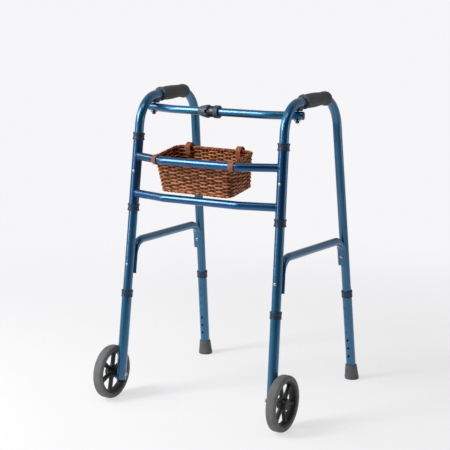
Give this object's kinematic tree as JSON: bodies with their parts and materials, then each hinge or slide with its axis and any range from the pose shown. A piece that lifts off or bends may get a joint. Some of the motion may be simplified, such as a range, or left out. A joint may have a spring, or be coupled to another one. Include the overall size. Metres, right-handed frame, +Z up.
{
  "type": "folding walker with front wheels",
  "caption": "Folding two-wheeled walking frame: hinged tubular sides, bowed crossbars, latched two-part top bar, telescoping legs and a wicker basket on leather straps.",
  "frame": {"origin": "on the floor, under the middle of the bounding box", "axes": "+Z up, +X to the right as seen from the front, -Y is the front, where the wheels are; left and right are as seen from the front"},
  "size_m": [0.5758, 0.5885, 0.8722],
  "materials": {
    "blue_metal": "glossy metallic blue lacquer on tube",
    "deep_blue_metal": "glossy deep blue lacquer on tube",
    "dark_plastic": "dark blue-grey moulded",
    "grip_vinyl": "dark grey soft moulded vinyl",
    "black_plastic": "black moulded",
    "grey_rubber": "mid grey non-marking",
    "zinc_steel": "bright zinc plated",
    "dark_steel": "blackened",
    "barrel_aluminium": "satin machined",
    "wicker": "woven brown willow, varnished",
    "leather": "tan-brown straps"
  },
  "bodies": {
    "front_frame": {"basket": "wicker", "bush_lower_left": "dark_plastic", "bush_lower_right": "dark_plastic", "bush_upper_left": "dark_plastic", "bush_upper_right": "dark_plastic", "crossbar_lower": "deep_blue_metal", "crossbar_upper": "deep_blue_metal", "front_strap_left": "leather", "front_strap_right": "leather", "rear_loop_left": "leather", "rear_loop_right": "leather", "sleeve_left": "deep_blue_metal", "sleeve_right": "deep_blue_metal", "sleeve_rivet_left": "zinc_steel", "sleeve_rivet_right": "zinc_steel"},
    "side_left": {"brace_left": "blue_metal", "brace_rivet_front_left": "zinc_steel", "brace_rivet_rear_left": "zinc_steel", "grip_left": "grip_vinyl", "pivot_bolt_left": "dark_steel", "pivot_bracket_left": "dark_plastic", "pivot_nut_left": "dark_steel", "side_tube_left": "blue_metal"},
    "top_bar_left": {"clasp_cone": "dark_plastic", "top_bar_cap_left": "black_plastic", "top_bar_left": "blue_metal"},
    "front_leg_left": {"axle_bolt_left": "zinc_steel", "hub_cap_left": "black_plastic", "leg_collar_front_left": "dark_plastic", "lower_leg_front_left": "blue_metal"},
    "front_button_left": {"snap_button_front_left": "zinc_steel"},
    "rear_leg_left": {"ferrule_left": "grey_rubber", "leg_collar_rear_left": "dark_plastic", "lower_leg_rear_left": "blue_metal"},
    "rear_button_left": {"snap_button_rear_left": "zinc_steel"},
    "wheel_left": {"tyre_left": "grey_rubber", "wheel_centre_left": "black_plastic"},
    "side_right": {"brace_right": "blue_metal", "brace_rivet_front_right": "zinc_steel", "brace_rivet_rear_right": "zinc_steel", "grip_right": "grip_vinyl", "pivot_bolt_right": "dark_steel", "pivot_bracket_right": "dark_plastic", "pivot_nut_right": "dark_steel", "side_tube_right": "blue_metal"},
    "top_bar_right": {"clasp_barrel": "barrel_aluminium", "top_bar_cap_right": "black_plastic", "top_bar_right": "blue_metal"},
    "front_leg_right": {"axle_bolt_right": "zinc_steel", "hub_cap_right": "black_plastic", "leg_collar_front_right": "dark_plastic", "lower_leg_front_right": "blue_metal"},
    "front_button_right": {"snap_button_front_right": "zinc_steel"},
    "rear_leg_right": {"ferrule_right": "grey_rubber", "leg_collar_rear_right": "dark_plastic", "lower_leg_rear_right": "blue_metal"},
    "rear_button_right": {"snap_button_rear_right": "zinc_steel"},
    "wheel_right": {"tyre_right": "grey_rubber", "wheel_centre_right": "black_plastic"},
    "release_collar": {"clasp_release_collar": "black_plastic"}
  },
  "joints": [
    {"name": "side_fold_left", "type": "hinge", "parent": "front_frame", "child": "side_left", "pos_m": [-0.22999, -0.15887, 0.54536], "axis": [-0.0211, -0.1258, -0.9918], "range_deg": [0, 64]},
    {"name": "top_bar_swing_left", "type": "hinge", "parent": "side_left", "child": "top_bar_left", "pos_m": [-0.22509, -0.05405, 0.816], "axis": [0.0211, 0.1258, 0.9918], "range_deg": [0, 78]},
    {"name": "front_leg_slide_left", "type": "slide", "parent": "side_left", "child": "front_leg_left", "axis": [-0.0211, -0.1258, -0.9918], "range_m": [-0.0254, 0.1016]},
    {"name": "front_button_press_left", "type": "slide", "parent": "side_left", "child": "front_button_left", "axis": [0.0269, -0.9918, 0.1252], "range_m": [0, 0.003], "stiffness_N_per_m": 800, "springref_m": -0.002},
    {"name": "rear_leg_slide_left", "type": "slide", "parent": "side_left", "child": "rear_leg_left", "axis": [-0.027, 0.1191, -0.9925], "range_m": [-0.0762, 0.0762]},
    {"name": "rear_button_press_left", "type": "slide", "parent": "side_left", "child": "rear_button_left", "axis": [0.0209, -0.9926, -0.1196], "range_m": [0, 0.003], "stiffness_N_per_m": 800, "springref_m": -0.002},
    {"name": "wheel_spin_left", "type": "hinge", "parent": "front_leg_left", "child": "wheel_left", "pos_m": [-0.27259, -0.21843, 0.0759], "axis": [1, 0, 0], "continuous": true},
    {"name": "side_fold_right", "type": "hinge", "parent": "front_frame", "child": "side_right", "pos_m": [0.22999, -0.15887, 0.54536], "axis": [-0.0211, 0.1258, 0.9918], "range_deg": [0, 27]},
    {"name": "top_bar_swing_right", "type": "hinge", "parent": "side_right", "child": "top_bar_right", "pos_m": [0.22509, -0.05405, 0.816], "axis": [0.0211, -0.1258, -0.9918], "range_deg": [0, 78]},
    {"name": "front_leg_slide_right", "type": "slide", "parent": "side_right", "child": "front_leg_right", "axis": [0.0211, -0.1258, -0.9918], "range_m": [-0.0254, 0.1016]},
    {"name": "front_button_press_right", "type": "slide", "parent": "side_right", "child": "front_button_right", "axis": [-0.0269, -0.9918, 0.1252], "range_m": [0, 0.003], "stiffness_N_per_m": 800, "springref_m": -0.002},
    {"name": "rear_leg_slide_right", "type": "slide", "parent": "side_right", "child": "rear_leg_right", "axis": [0.027, 0.1191, -0.9925], "range_m": [-0.0762, 0.0762]},
    {"name": "rear_button_press_right", "type": "slide", "parent": "side_right", "child": "rear_button_right", "axis": [-0.0209, -0.9926, -0.1196], "range_m": [0, 0.003], "stiffness_N_per_m": 800, "springref_m": -0.002},
    {"name": "wheel_spin_right", "type": "hinge", "parent": "front_leg_right", "child": "wheel_right", "pos_m": [0.27259, -0.21843, 0.0759], "axis": [1, 0, 0], "continuous": true},
    {"name": "clasp_release", "type": "slide", "parent": "top_bar_right", "child": "release_collar", "axis": [1, 0, 0], "range_m": [0, 0.01], "stiffness_N_per_m": 400, "springref_m": -0.003}
  ]
}
